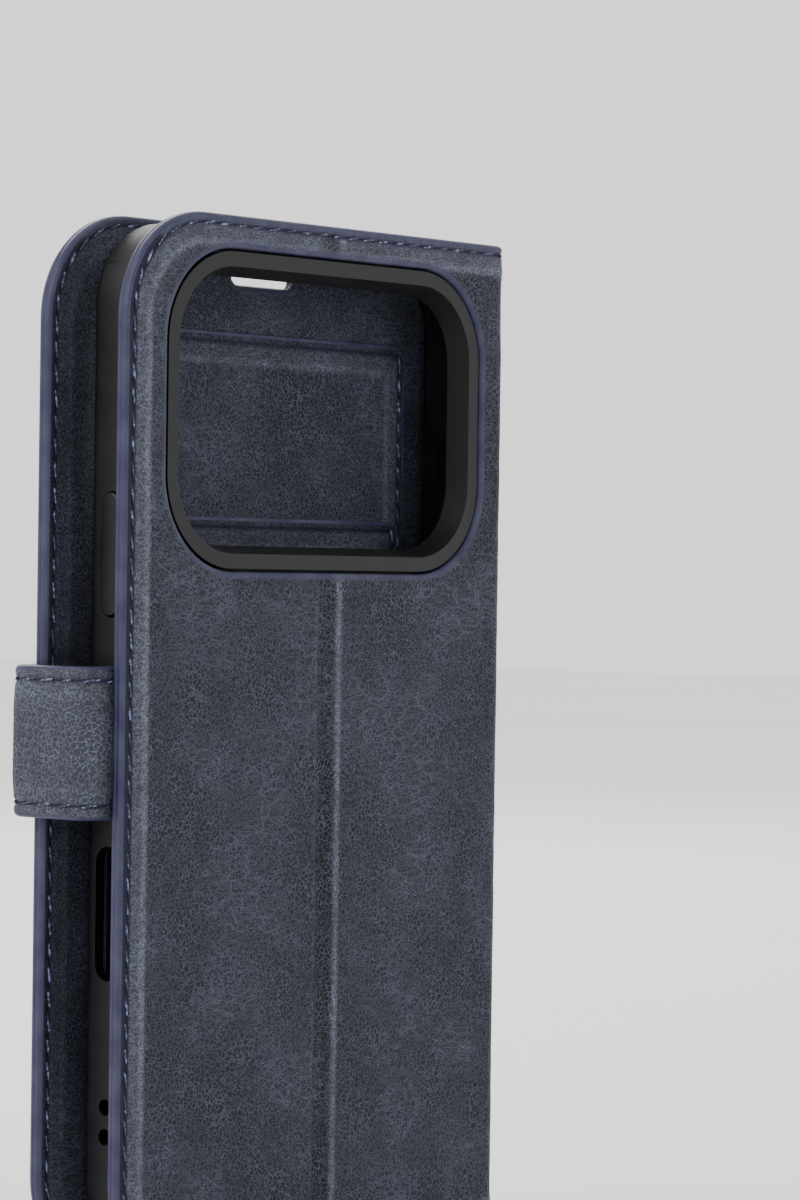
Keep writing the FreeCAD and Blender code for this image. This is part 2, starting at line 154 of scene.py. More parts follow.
class FinishSettings(bpy.types.PropertyGroup):
    """Colours of the finishes."""
    leather_dark: colour("Leather, low", "Hollows of the leather's grain", (0.070, 0.078, 0.108))
    leather_mid: colour("Leather, field", "Main tone of the leather", (0.122, 0.136, 0.186))
    leather_line: colour("Leather, lines", "Raised, rubbed lines of the grain", (0.315, 0.330, 0.385))
    # Lighter tone of worn leather, also used for the painted highlights on the board's ridge, the crease's
    # ridges and the strap's bends.
    leather_rub_and_highlight: colour("Leather, rubbed", "Worn bands beside seams and folds", (0.385, 0.400, 0.455))
    edge_paint: colour("Edge paint", "Painted edges of the leather", (0.158, 0.156, 0.250))
    seam_navy: colour("Seam groove", "Deep blue of the seam's groove", (0.045, 0.052, 0.130))
    # Light tone of the thread's painted highlights; the thread itself is the seam's navy.
    thread_highlight: colour("Thread", "Sewing thread", (0.300, 0.315, 0.420))
    # Low tone of the lining and pockets: the outer leather's low tone made darker, painted shade on the inner
    # faces.
    lining_shaded_dark: colour("Lining", "Inner leather", (0.058, 0.066, 0.102))
    shell_black: colour("Shell", "Moulded shell", (0.026, 0.026, 0.036))
    board_grey: colour("Board", "Stiffening board", (0.42, 0.38, 0.33))


class StageSettings(bpy.types.PropertyGroup):
    """Camera, lights and floor."""
    azimuth: FloatProperty(name="Azimuth", description="Camera's turn round the case",
                           default=math.radians(131.35), subtype="ANGLE")
    elevation: FloatProperty(name="Elevation", description="Camera's height angle",
                             default=math.radians(0.3), subtype="ANGLE")
    roll: FloatProperty(name="Roll", description="Camera's lean",
                        default=math.radians(0.74), subtype="ANGLE")
    distance: length("Distance", "From the camera to the aim", 568 * MM)
    aim_across: length("Aim across", "Aim to the right of the case's middle", 20.2 * MM)
    aim_up: length("Aim up", "Aim above the case's middle", 21.8 * MM)
    lens: FloatProperty(name="Lens", description="Focal length in millimetres", default=112.4)
    floor: length("Floor", "Half the width of the floor", 3.0)


SETTINGS = {
    "case_cover": CoverSettings,
    "case_strap": StrapSettings,
    "case_seam": SeamSettings,
    "case_finish": FinishSettings,
    "case_stage": StageSettings,
}


# Shader writing

def linear(shown):
    """Turns a colour as it looks on screen into the renderer's linear one."""
    low = [c / 12.92 if c <= 0.04045 else ((c + 0.055) / 1.055) ** 2.4 for c in shown]
    return (*low, 1.0)


def shades(tone, *shares):
    """Linear colours of a tone made darker or lighter by each share."""
    return [linear([c * share for c in tone]) for share in shares]


def add_node(tree, kind, settings=None, inputs=None):
    """Adds a node to a tree: its settings first, then values or links by socket name or number."""
    made = tree.nodes.new(kind)
    for key, value in (settings or {}).items():
        setattr(made, key, value)
    for key, value in (inputs or {}).items():
        if isinstance(value, bpy.types.NodeSocket):
            tree.links.new(value, made.inputs[key])
        else:
            made.inputs[key].default_value = value
    return made


class Value:
    """A number that runs through a material: arithmetic on it adds Math nodes."""

    def __init__(self, finish, socket):
        self.finish = finish
        self.socket = socket

    def __add__(self, other):
        return self.finish.maths("ADD", self, other)

    __radd__ = __add__

    def __sub__(self, other):
        return self.finish.maths("SUBTRACT", self, other)

    def __rsub__(self, other):
        return self.finish.maths("SUBTRACT", other, self)

    def __mul__(self, other):
        return self.finish.maths("MULTIPLY", self, other)

    __rmul__ = __mul__


class Finish:
    """One procedural material while it is written."""

    def __init__(self, name):
        self.material = bpy.data.materials.new(name)
        self.material.use_nodes = True
        self.tree = self.material.node_tree
        self.tree.nodes.clear()

    def node(self, kind, settings=None, inputs=None, output=0):
        """Adds a node and gives one of its outputs as a Value."""
        sockets = {key: getattr(value, "socket", value) for key, value in (inputs or {}).items()}
        made = add_node(self.tree, kind, settings, sockets)
        return Value(self, made.outputs[output]) if made.outputs else None

    def maths(self, operation, first, second):
        return self.node("ShaderNodeMath", {"operation": operation}, {0: first, 1: second})

    def ramp(self, value, low, high, start=0.0, end=1.0):
        """Smooth step of a value from low to high."""
        inputs = {0: value, 1: low, 2: high, 3: start, 4: end}
        return self.node("ShaderNodeMapRange", {"interpolation_type": "SMOOTHSTEP"}, inputs)

    def fade(self, value, low, high):
        """1 below low and 0 above high, with a smooth step between."""
        return self.ramp(value, low, high, 1.0, 0.0)

    def band(self, value, centre, half):
        """A soft stripe, 1 at the centre and 0 at half either side."""
        return self.ramp(value, centre - half, centre) * self.fade(value, centre, centre + half)

    def mix(self, factor, first, second, blend="MIX"):
        """Mixes two colours."""
        settings = {"data_type": "RGBA", "blend_type": blend}
        return self.node("ShaderNodeMix", settings, {0: factor, 6: first, 7: second}, 2)

    def vector(self, operation, first, second):
        return self.node("ShaderNodeVectorMath", {"operation": operation}, {0: first, 1: second})

    def piece_place(self):
        """Place on the piece, in metres."""
        return self.node("ShaderNodeTexCoord", None, None, "Object")

    def attribute(self, name):
        return self.node("ShaderNodeAttribute", {"attribute_name": name}, None, "Vector")

    def part(self, vector, axis):
        """One axis of a vector."""
        return self.node("ShaderNodeSeparateXYZ", None, {0: vector}, axis)

    def place(self, vector, scale, turn=0.0):
        """Scales a pattern's coordinates, so that one unit is one cell."""
        inputs = {"Vector": vector, "Scale": scale, "Rotation": (0.0, turn, 0.0)}
        return self.node("ShaderNodeMapping", None, inputs)

    def clouds(self, vector, size, detail=2.0, rough=0.5):
        """Soft noise with features of a given size in metres."""
        inputs = {"Vector": vector, "Scale": 1 / size, "Detail": detail, "Roughness": rough}
        return self.node("ShaderNodeTexNoise", None, inputs)

    def wander(self, vector, size, reach):
        """Moves coordinates about, so that a pattern on them isn't regular."""
        inputs = {"Vector": vector, "Scale": 1 / size, "Detail": 2.0}
        drift = self.node("ShaderNodeTexNoise", None, inputs, 1)
        centred = self.vector("SUBTRACT", drift, (0.5, 0.5, 0.5))
        return self.vector("ADD", vector, self.vector("MULTIPLY", centred, (reach, reach, reach)))

    def cracks(self, vector, size):
        """Distance from the borders of a net of cells, in parts of a cell."""
        inputs = {"Vector": vector, "Scale": 1 / size}
        return self.node("ShaderNodeTexVoronoi", {"feature": "DISTANCE_TO_EDGE"}, inputs)

    def surface(self, base, rough, height=None, reach=0.0, strength=1.0, **constants):
        """Ends the material in one shader, with a bump of the given reach in metres."""
        inputs = {"Base Color": base, "Roughness": rough}
        if height is not None:
            bump = {"Height": height, "Distance": reach, "Strength": strength}
            inputs["Normal"] = self.node("ShaderNodeBump", None, bump)
        for name, value in constants.items():
            inputs[name.replace("_", " ")] = value
        shader = self.node("ShaderNodeBsdfPrincipled", None, inputs)
        self.node("ShaderNodeOutputMaterial", None, {0: shader})
        return self.material


# Where worn leather, painted highlight and paint lie, as distances in from an edge of the leather: the start
# and the end of each step, and for the rubbed line (painted highlight on the board's ridge, with some rubbing)
# its middle and half width.
SHELF_START = (1.6 * MM, 2.3 * MM)
SHELF_END = (4.5 * MM, 5.6 * MM)
RUBBED_HIGHLIGHT_LINE = (4.3 * MM, 1.0 * MM)
MARGIN_END = (1.75 * MM, 2.2 * MM)
EDGE_PAINT_END = (0.42 * MM, 0.62 * MM)
WINDOW_PAINT_END = (0.65 * MM, 1.35 * MM)
THREAD_HALF = 0.45 * MM


def leather(name, tones, net, rub_and_highlight, groove, seam):
    """Oiled leather. net: size of the grain's cells. rub: worn leather and painted highlight beside its edges.

    groove: how blue the margin outside its seam is. seam: distance of the seam from the edge. It reads two
    attributes of the mesh: grain, the place on the flat hide, and edge, which holds the distance from the
    free edge, the distance from a window and painted light with worn leather: painted highlight and worn
    leather above zero, painted shade in the stand's crease below zero.
    """
    dark, mid, line, rub_highlight_tone, paint, navy = [linear(tone) for tone in tones]
    made = Finish(name)
    hide = made.attribute("grain")
    edge = made.attribute("edge")
    # fold: the edge attribute's third value: painted highlight on the crease's ridges and the strap's bends,
    # worn leather and lighter fold bands above zero, painted shade in the crease's channel below zero.
    outer, window, fold = [made.part(edge, axis) for axis in range(3)]
    place = made.wander(hide, 1.9 * net, 0.62 * net)
    fine = made.cracks(place, net)
    coarse = made.cracks(made.vector("ADD", place, (0.31, 0.17, 0.0)), 2.1 * net)
    long_lines = made.cracks(made.place(place, (0.24, 1.0, 1.0)), 1.5 * net)
    fibres = made.clouds(hide, 0.34 * net, 2.0, 0.6)
    patch = made.clouds(hide, 8 * net, 2.0, 0.55)
    cloud = made.clouds(hide, 24 * net, 2.0, 0.55)
    broken = made.ramp(fibres, 0.40, 0.58, 0.10, 1.0)
    net_lines = made.fade(fine, 0.02, 0.19) * broken * made.ramp(patch, 0.34, 0.66, 0.55, 1.0)
    big_lines = made.fade(coarse, 0.0, 0.07) * made.ramp(patch, 0.60, 0.42) * broken
    shelf = made.ramp(outer, *SHELF_START) * made.fade(outer, *SHELF_END) * rub_and_highlight
    stretched = made.maths("MAXIMUM", made.ramp(cloud, 0.46, 0.60), shelf * 0.9)
    torn = made.ramp(fibres, 0.36, 0.56, 0.3, 1.0)
    wrinkles = made.fade(long_lines, 0.0, 0.09) * stretched * torn
    lines = made.maths("MAXIMUM", net_lines, made.maths("MAXIMUM", big_lines * 0.85, wrinkles))
    # Lighter band: worn leather on the shelf beside the seam, painted highlight with some rubbing on the
    # board's ridge, and the edge attribute's painted highlight on creases and bends, with lighter fold bands.
    ridge = 0.52 * shelf + 0.72 * rub_and_highlight * made.band(outer, *RUBBED_HIGHLIGHT_LINE) + made.ramp(fold, 0.05, 1.0)
    ridge = ridge * made.ramp(patch, 0.25, 0.65, 0.6, 1.0) * made.ramp(fibres, 0.36, 0.62, 0.62, 1.12)
    wear_and_painted_light = made.node("ShaderNodeClamp", None, {0: ridge})
    shade = made.ramp(fibres, 0.3, 0.7) * 0.45 + made.ramp(cloud, 0.36, 0.64) * 0.55
    plain = linear([tones[1][0] * 1.05, tones[1][1] * 1.02, tones[1][2] * 0.90])
    tone = made.mix(shade, dark, made.mix(made.ramp(patch, 0.36, 0.64), plain, mid))
    # Painted shade: the stand crease's channel, where the third edge value is below zero, is darkened towards
    # the low tone.
    tone = made.mix(made.ramp(fold, -0.05, -0.9) * 0.78, tone, shades(tones[0], 0.62)[0])
    # Lighter tone where the leather is worn and where a highlight is painted on ridges, creases and bends.
    tone = made.mix(wear_and_painted_light * 0.38, tone, rub_highlight_tone)
    tone = made.mix(lines * made.ramp(wear_and_painted_light, 0.0, 1.0, 0.62, 0.95), tone, made.mix(wear_and_painted_light * 0.9, line, rub_highlight_tone))
    up = made.part(hide, 1)
    near_base, near_top = (3.2 * MM, 5.0 * MM), (CASE_HEIGHT - 5.0 * MM, CASE_HEIGHT - 3.2 * MM)
    level = made.ramp(up, *near_base) * made.fade(up, *near_top)
    ditch = made.fade(outer, *MARGIN_END)
    near = made.ramp(made.clouds(hide, 2.2 * net, 2.0, 0.5), 0.35, 0.7)
    turned = made.mix(0.30 + near * 0.25, paint, line)
    tone = made.mix(ditch * groove, tone, made.mix(made.ramp(level, 0.0, 1.0, 0.12, 0.95), turned, navy))
    thread_line = made.band(outer, seam, THREAD_HALF)
    tone = made.mix(thread_line * 0.88, tone, navy)
    painted = made.maths("MAXIMUM", made.fade(outer, *EDGE_PAINT_END),
                         made.ramp(window, *WINDOW_PAINT_END, 0.85, 0.0))
    sheen = made.clouds(hide, 5 * MM, 2.0, 0.5)
    tone = made.mix(painted, tone, made.mix(made.ramp(sheen, 0.3, 0.7) * 0.25, paint, line))
    rough = 0.68 - lines * 0.12 - wear_and_painted_light * 0.10 + fibres * 0.12
    rough = rough * (1 - painted) + painted * 0.38
    pits = made.ramp(fine, 0.0, 0.30) * 0.6 - 0.7 * wrinkles - 0.5 * big_lines + 0.5 * fibres
    height = pits * (1 - painted * 0.9) * made.ramp(outer, 0.3 * MM, 1.6 * MM, 0.25, 1.0)
    return made.surface(tone, rough, height, 0.13 * net, 1.0, Specular_IOR_Level=0.18)


def thread_finish(tone, deep):
    """Twisted sewing thread: navy, with painted highlights where its plies' noise is high."""
    made = Finish("sewing_thread")
    place = made.piece_place()
    ply = made.clouds(place, 0.7 * MM, 3.0, 0.6)
    # Painted highlight: the ply noise lifts parts of the navy thread to the light thread tone.
    base = made.mix(made.ramp(ply, 0.46, 0.66), *shades(deep, 1.25), *shades(tone, 1.35))
    return made.surface(base, 0.62 - ply * 0.2, ply, 0.08 * MM, 0.8)


def moulded(name, tone, polish):
    """Satin moulded plastic with a fine spark-eroded texture and faint handling marks."""
    made = Finish(name)
    place = made.piece_place()
    speck = made.clouds(place, 0.16 * MM, 2.0, 0.5)
    marks = made.clouds(place, 7 * MM, 4.0, 0.6)
    base = made.mix(made.ramp(marks, 0.35, 0.70), *shades(tone, 0.82, 1.22))
    rough = polish + made.ramp(marks, 0.3, 0.7) * 0.10 + speck * 0.06
    return made.surface(base, rough, speck, 0.012 * MM, 0.6, Specular_IOR_Level=0.32)


def board_finish(tone):
    """Pressed grey board with fibres."""
    made = Finish("pressed_board")
    place = made.piece_place()
    fibres = made.clouds(made.place(place, (0.25, 1.0, 1.0)), 0.8 * MM, 4.0, 0.7)
    base = made.mix(fibres, *shades(tone, 0.75, 1.15))
    return made.surface(base, 0.85 + fibres * 0.1, fibres, 0.05 * MM, 0.8)


def foam_finish():
    """Black bonding foam with open cells."""
    made = Finish("bonding_foam")
    place = made.piece_place()
    cells = made.cracks(place, 0.6 * MM)
    walls = made.ramp(cells, 0.0, 0.3)
    base = made.mix(walls, linear((0.07, 0.07, 0.075)), linear((0.14, 0.14, 0.145)))
    return made.surface(base, 0.9 - cells * 0.1, walls, 0.08 * MM, 0.8)


def metal_finish(name, tone, stretch):
    """Brushed or plated metal."""
    made = Finish(name)
    place = made.piece_place()
    brush = made.clouds(made.place(place, stretch), 0.5 * MM, 4.0, 0.6)
    base = made.mix(brush, *shades(tone, 0.85, 1.0))
    return made.surface(base, 0.28 + brush * 0.16, brush, 0.006 * MM, 0.5, Metallic=1.0)


# Leather blanks: flat hides laid along a folded path

def smooth_step(value, low, high):
    t = min(1.0, max(0.0, (value - low) / (high - low)))
    return t * t * (3 - 2 * t)


def bump_at(value, centre, spread):
    """A rounded hill, 1 at its centre."""
    return math.exp(-((value - centre) / spread) ** 2)


def hills(value, rows):
    """Height of rounded hills: each row is a height, a centre and a spread in millimetres."""
    return sum(height * MM * bump_at(value, centre * MM, spread * MM) for height, centre, spread in rows)


def ripple(s, z, pitch_s, pitch_z, layer):
    """Soft unevenness between -1 and 1 over the hide. layer picks a different pattern."""
    return noise.noise(Vector((s * pitch_s, z * pitch_z, layer)))


class Path:
    """A plan line of straight runs and arcs: length along the hide gives a place and an outward way."""

    def __init__(self, start, heading, steps):
        self.runs = []
        place, way, total = Vector(start), Vector(heading), 0.0
        for kind, size in steps:
            out = Vector((way.y, -way.x))
            if kind == "run":
                self.runs.append((total, kind, place, way, out, 0.0))
                place = place + way * size
            else:
                radius, size = size, size * math.pi / 2
                centre = place - out * radius
                self.runs.append((total, kind, centre, way, out, radius))
                place, way = centre + way * radius, -out
            total += size
        self.total = total

    def at(self, s):
        """Place on the outer face, outward way and the radius there, or 0 on a straight run."""
        chosen = self.runs[0]
        for run in self.runs:
            if s >= run[0] - 1e-9:
                chosen = run
        start, kind, anchor, way, out, radius = chosen
        if kind == "run":
            return anchor + way * (s - start), out, 0.0
        turn = (s - start) / radius
        normal = out * math.cos(turn) + way * math.sin(turn)
        return anchor + normal * radius, normal, radius

    def point(self, s, z, depth):
        """The point at a depth under the outer face. Inside an arc the depth stops short of the centre."""
        place, out, radius = self.at(s)
        if radius:
            depth = min(depth, radius - 0.15 * MM)
        flat = place - out * depth
        return Vector((flat.x, flat.y, z))

    def out(self, s):
        normal = self.at(s)[1]
        return Vector((normal.x, normal.y, 0.0))


def corner_arc(centre, radius, start, step):
    """Points of a quarter turn that starts at an angle, without its last point."""
    count = max(2, round(radius * math.pi / 2 / step))
    angles = [start + math.pi / 2 * i / count for i in range(count)]
    return [Vector((centre[0] + radius * math.cos(a), centre[1] + radius * math.sin(a))) for a in angles]


def straight(start, end, step):
    """Points of a straight side, without its last point."""
    count = max(1, round((end - start).length / step))
    return [start.lerp(end, i / count) for i in range(count)]


class Outline:
    """A rounded rectangle on the flat hide: s0, s1 along it, z0, z1 up it. radii go round from (s1, z0)."""

    def __init__(self, s0, s1, z0, z1, radii):
        self.box = (s0, s1, z0, z1)
        self.radii = radii

    def distance(self, s, z):
        """Distance in from the outline, negative outside."""
        s0, s1, z0, z1 = self.box
        right, high = s > (s0 + s1) / 2, z > (z0 + z1) / 2
        radius = self.radii[2 - right if high else 3 - 3 * right]
        across = min(s - s0, s1 - s) - radius
        up = min(z - z0, z1 - z) - radius
        if across < 0 and up < 0:
            return radius - math.hypot(across, up)
        return min(across, up) + radius

    def loop(self, inset, step):
        """Closed loop of points moved in by inset, or out if it is negative."""
        s0, s1, z0, z1 = self.box
        s0, s1, z0, z1 = s0 + inset, s1 - inset, z0 + inset, z1 - inset
        points = []
        turns = [(s1, z0, -1, 1), (s1, z1, -1, -1), (s0, z1, 1, -1), (s0, z0, 1, 1)]
        starts = [-math.pi / 2, 0.0, math.pi / 2, math.pi]
        rounds = [max(0.0, r - inset) if r > 0 else 0.0 for r in self.radii]
        for i, (s, z, way_s, way_z) in enumerate(turns):
            r = rounds[i]
            centre = (s + way_s * r, z + way_z * r)
            if r > 0.02 * MM:
                arc = corner_arc(centre, r, starts[i], step)
                last = Vector((centre[0] + r * math.cos(starts[i] + math.pi / 2),
                               centre[1] + r * math.sin(starts[i] + math.pi / 2)))
            else:
                arc, last = [], Vector((s, z))
            points += arc
            after = turns[(i + 1) % 4]
            r_next = rounds[(i + 1) % 4]
            begin = Vector((after[0] + after[2] * r_next, after[1] + after[3] * r_next))
            begin += Vector((math.cos(starts[(i + 1) % 4]), math.sin(starts[(i + 1) % 4]))) * r_next
            points += straight(last, begin, step)
        return points


# Part of a hide's thickness over which its edge is rounded, how near an edge a point counts as on it, and the
# width of the fine rows of mesh round a hole.
ROLL_SHARE = 0.31
RIM = 0.002 * MM
HOLE_REACH = 2.4 * MM


class Blank:
    """A cut hide: outline, holes, thickness, the path it is laid along and how its two faces are shaped."""

    def __init__(self, path, outline, thickness, cell, reach, holes=(), cuts=(), bends=()):
        self.path = path
        self.outline = outline
        self.thickness = thickness
        self.holes = holes
        self.cuts = cuts
        self.bends = bends
        self.cell = cell
        self.reach = reach
        self.roll = ROLL_SHARE * thickness
        self.points, self.faces = self.cut_mesh()

    def insets(self):
        """Distances in from an edge at which a row of points is laid."""
        rolled = [self.roll * part for part in (0.0, 0.04, 0.13, 0.3, 0.6, 1.0)]
        step, depth = 0.2 * MM, self.roll + 0.3 * MM
        while depth < self.reach:
            rolled.append(depth)
            depth += step if depth < 2.1 * MM else 0.65 * MM
        return rolled

    def columns(self):
        """Places along the hide, closer together where it bends."""
        s0, s1, _, _ = self.outline.box
        found, s = [], s0
        while s < s1:
            found.append(s)
            fine = any(low <= s <= high for low, high in self.bends)
            s += 0.42 * self.cell if fine else self.cell
        return found

    def cut_mesh(self):
        """Triangles of the flat hide, with rows of points along its edges and its bends."""
        points, edges = [], []

        def add_loop(loop):
            first = len(points)
            points.extend(loop)
            edges.extend((first + i, first + (i + 1) % len(loop)) for i in range(len(loop)))

        for inset in self.insets():
            add_loop(self.outline.loop(inset, self.cell))
        for hole in self.holes:
            for inset in [i for i in self.insets() if i < HOLE_REACH]:
                add_loop(hole.loop(-inset, self.cell * 0.8))
        for cut in self.cuts:
            _, _, z0, z1 = self.outline.box
            first = len(points)
            points.extend((Vector((cut, z0)), Vector((cut, z1))))
            edges.append((first, first + 1))
        _, _, z0, z1 = self.outline.box
        rows = max(2, round((z1 - z0) / self.cell))
        for s in self.columns():
            for row in range(1, rows):
                z = z0 + (z1 - z0) * row / rows
                if self.outline.distance(s, z) < self.reach + 0.35 * self.cell:
                    continue
                if any(-hole.distance(s, z) < HOLE_REACH + 0.3 * self.cell for hole in self.holes):
                    continue
                if any(abs(s - cut) < 0.3 * self.cell for cut in self.cuts):
                    continue
                points.append(Vector((s, z)))
        flat, _, faces, _, _, _ = delaunay_2d_cdt(points, edges, [], 1, 1e-7)
        kept = []
        for face in faces:
            middle = sum((flat[i] for i in face), Vector((0, 0))) / 3
            if self.outline.distance(*middle) > 0 and all(h.distance(*middle) < 0 for h in self.holes):
                area = (flat[face[1]] - flat[face[0]]).cross(flat[face[2]] - flat[face[0]])
                kept.append(tuple(face) if area > 0 else tuple(reversed(face)))
        return flat, kept

    def rolled(self, distance):
        """Depth of the rounded edge at a distance in from it: half the thickness at the very edge."""
        share = 1 - min(1.0, max(0.0, distance / self.roll))
        return self.thickness / 2 * (1 - (1 - share ** 2.5) ** 0.4)

    def margins(self, s, z):
        """Distances from the outline and from the nearest hole."""
        outer = self.outline.distance(s, z)
        hole = min([-h.distance(s, z) for h in self.holes] or [1.0])
        return max(0.0, outer), max(0.0, hole)


def layer_mesh(name, blank, span, face_depth, back_depth, wear_and_painted_light, outward):
    """Closed layer of leather between a shaped face and a plain back, over one span of the blank.

    face_depth, back_depth: depth under the outer face from (s, z, edge distance, hole distance).
    outward is True where the face looks out of the cover and False where it looks in.
    """
    low, high = span
    faces = [f for f in blank.faces if low < sum(blank.points[i].x for i in f) / 3 < high]
    used = sorted({i for face in faces for i in face})
    shown, hidden, verts, grain, edge = {}, {}, [], [], []
    for i in used:
        s, z = blank.points[i]
        outer, hole = blank.margins(s, z)
        if min(outer, hole) < RIM:
            depths = [blank.thickness / 2]
        else:
            depths = [face_depth(s, z, outer, hole), back_depth(s, z, outer, hole)]
        for place, depth in zip((shown, hidden), depths):
            place[i] = len(verts)
            verts.append(blank.path.point(s, z, depth))
            grain.append((s, z, depth))
            edge.append((outer, hole, wear_and_painted_light(s, z)))
        hidden.setdefault(i, shown[i])
    polygons = []
    for face in faces:
        front = [shown[i] for i in face]
        back = [hidden[i] for i in reversed(face)]
        polygons.append(front if outward else front[::-1])
        polygons.append(back if outward else back[::-1])
    borders = {pair: True for face in faces for pair in zip(face, face[1:] + face[:1])}
    for a, b in [pair for pair in borders if (pair[1], pair[0]) not in borders]:
        wall = [shown[b], shown[a], hidden[a], hidden[b]]
        wall = [v for k, v in enumerate(wall) if v not in wall[:k]]
        if len(wall) > 2:
            polygons.append(wall if outward else wall[::-1])
    mesh = bpy.data.meshes.new(name)
    mesh.from_pydata(verts, [], polygons)
    for title, values in (("grain", grain), ("edge", edge)):
        attribute = mesh.attributes.new(title, "FLOAT_VECTOR", "POINT")
        attribute.data.foreach_set("vector", [n for value in values for n in value])
    mesh.shade_smooth()
    mesh.update()
    match_normals(mesh, blank, faces, shown, face_depth, outward)
    made = bpy.data.objects.new(name, mesh)
    bpy.context.scene.collection.objects.link(made)
    return made


def match_normals(mesh, blank, faces, shown, face_depth, outward):
    """Gives the points on a cut between two pieces the normal of the whole hide, so that no line shows."""
    mine = set(faces)
    rim = {i for f in blank.faces if f not in mine for i in f if i in shown}
    around = [f for f in blank.faces if rim.intersection(f)]
    places = {}
    for i in {i for f in around for i in f}:
        s, z = blank.points[i]
        outer, hole = blank.margins(s, z)
        rim_here = min(outer, hole) < RIM
        depth = blank.thickness / 2 if rim_here else face_depth(s, z, outer, hole)
        places[i] = blank.path.point(s, z, depth)
    normals = [Vector((0, 0, 0)) for _ in mesh.vertices]
    for face in around:
        a, b, c = [places[i] for i in face]
        tilt = (b - a).cross(c - a)
        for i in rim.intersection(face):
            normals[shown[i]] += tilt if outward else -tilt
    for normal in normals:
        if normal.length > 0:
            normal.normalize()
    mesh.normals_split_custom_set_from_vertices(normals)


def no_wear(s, z):
    """Wear of a face that isn't rubbed anywhere."""
    return 0.0


# The cover's blank and its relief

def cover_places():
    """Lengths along the cover's hide: the crease, the seams between pieces and the two folds."""
    cover = bpy.context.scene.case_cover
    back = BACK_HIGH.x - SPINE_X - cover.fold_round
    side = BACK_Y - FLAP_Y - 2 * cover.fold_round
    bend = cover.fold_round * math.pi / 2
    return {
        "crease": BACK_HIGH.x - CREASE_X,
        "wing_seam": BACK_HIGH.x - cover.seam_x,
        "back_fold": (back, back + bend),
        "spine_seam": back + bend + side / 2,
        "front_fold": (back + bend + side, back + 2 * bend + side),
        "flap_start": back + 2 * bend + side,
        "end": back + 2 * bend + side + FLAP_HIGH.x - SPINE_X - cover.fold_round,
        "back": back,
        "side": side,
    }


def cover_blank():
    """The whole cover laid flat, from the back panel's free edge round the spine to the flap's."""
    cover = bpy.context.scene.case_cover
    at = cover_places()
    steps = [("run", at["back"]), ("turn", cover.fold_round), ("run", at["side"]),
             ("turn", cover.fold_round), ("run", at["end"] - at["flap_start"])]
    path = Path((BACK_HIGH.x, BACK_Y), (-1.0, 0.0), steps)
    outline = Outline(0.0, at["end"], 0.0, CASE_HEIGHT, [cover.corner] * 4)
    top = CASE_HEIGHT - cover.window_strip
    left = cover.window_inset
    right, low = left + cover.window_width, top - cover.window_height
    window = Outline(left, right, low, top, [cover.window_corner] * 4)
    slot_s = at["flap_start"] + cover.slot_x - (SPINE_X + cover.fold_round)
    slot_z = CASE_HEIGHT - cover.slot_drop
    half, tall = cover.slot_length / 2, cover.slot_height / 2
    slot = Outline(slot_s - half, slot_s + half, slot_z - tall, slot_z + tall, [tall * 0.999] * 4)
    around_crease, around_fold = 5 * MM, 1.5 * MM
    bends = [(at["crease"] - around_crease, at["crease"] + around_crease)]
    bends += [(start - around_fold, end + around_fold) for start, end in (at["back_fold"], at["front_fold"])]
    cuts = [at["wing_seam"], at["spine_seam"]]
    return Blank(path, outline, PANEL, cover.cell, cover.reach, (window, slot), cuts, bends)


# Relief of the faces, and the crease's painted highlights. Hills and highlights: height, middle and spread in
# millimetres. Grooves: depth and half width.
CHANNEL_DEPTH = 0.34 * MM
BOARD_HILLS = ((-0.16, 4.2, 1.2), (0.05, 2.7, 0.6))
CREASE_HILLS = ((-0.20, 2.7, 0.85), (-0.07, -2.15, 0.4))
CREASE_HIGHLIGHTS = ((0.95, 2.7, 0.75), (0.35, -2.15, 0.35))
COVER_GROOVE = (0.26, 0.38)
STRAP_GROOVE = (0.30, 0.45)
LINING_GROOVE = (0.16, 0.35)


def groove_at(distance, inset, groove):
    """Depth of a seam's groove, of a given depth and half width in millimetres."""
    depth, half = groove
    return depth * MM * bump_at(distance, inset, half * MM)


def channel(across):
    """The pressed channel of the stand's crease, 1 on its floor."""
    return smooth_step(across, -1.9 * MM, -1.2 * MM) * (1 - smooth_step(across, 1.1 * MM, 1.9 * MM))


def cover_relief(blank):
    """Depth of the cover's outer face: rolled edge, seam groove, board ridge, stand crease, unevenness."""
    at = cover_places()
    seam = bpy.context.scene.case_seam

    def depth(s, z, outer, hole):
        side = min(outer, hole)
        keep = smooth_step(outer, 0.2 * MM, 3.0 * MM)
        groove = groove_at(outer, seam.cover_inset, COVER_GROOVE)
        wave = math.sin((s + z) * 2 * math.pi / seam.pitch)
        pucker = wave * hills(outer, ((0.05, 2.3, 0.9),))
        across = s - at["crease"]
        crease = CHANNEL_DEPTH * channel(across) + hills(across, CREASE_HILLS)
        swell = 0.09 * MM * ripple(s, z, 45, 55, 0.7) + 0.045 * MM * ripple(s, z, 160, 330, 3.1)
        relief = groove + pucker + hills(side, BOARD_HILLS) * keep + crease * (0.3 + 0.7 * keep) + swell
        return blank.rolled(side) + smooth_step(side, 0.4 * MM, 1.2 * MM) * relief

    return depth


def plain_back(blank, thickness, from_outer):
    """Depth of a layer's hidden side: level, but drawn to the middle of the panel at its edges."""
    middle = blank.thickness / 2
    level = thickness if from_outer else blank.thickness - thickness

    def depth(s, z, outer, hole):
        share = smooth_step(min(outer, hole), 0.0, 1.2 * MM)
        return middle + (level - middle) * share

    return depth


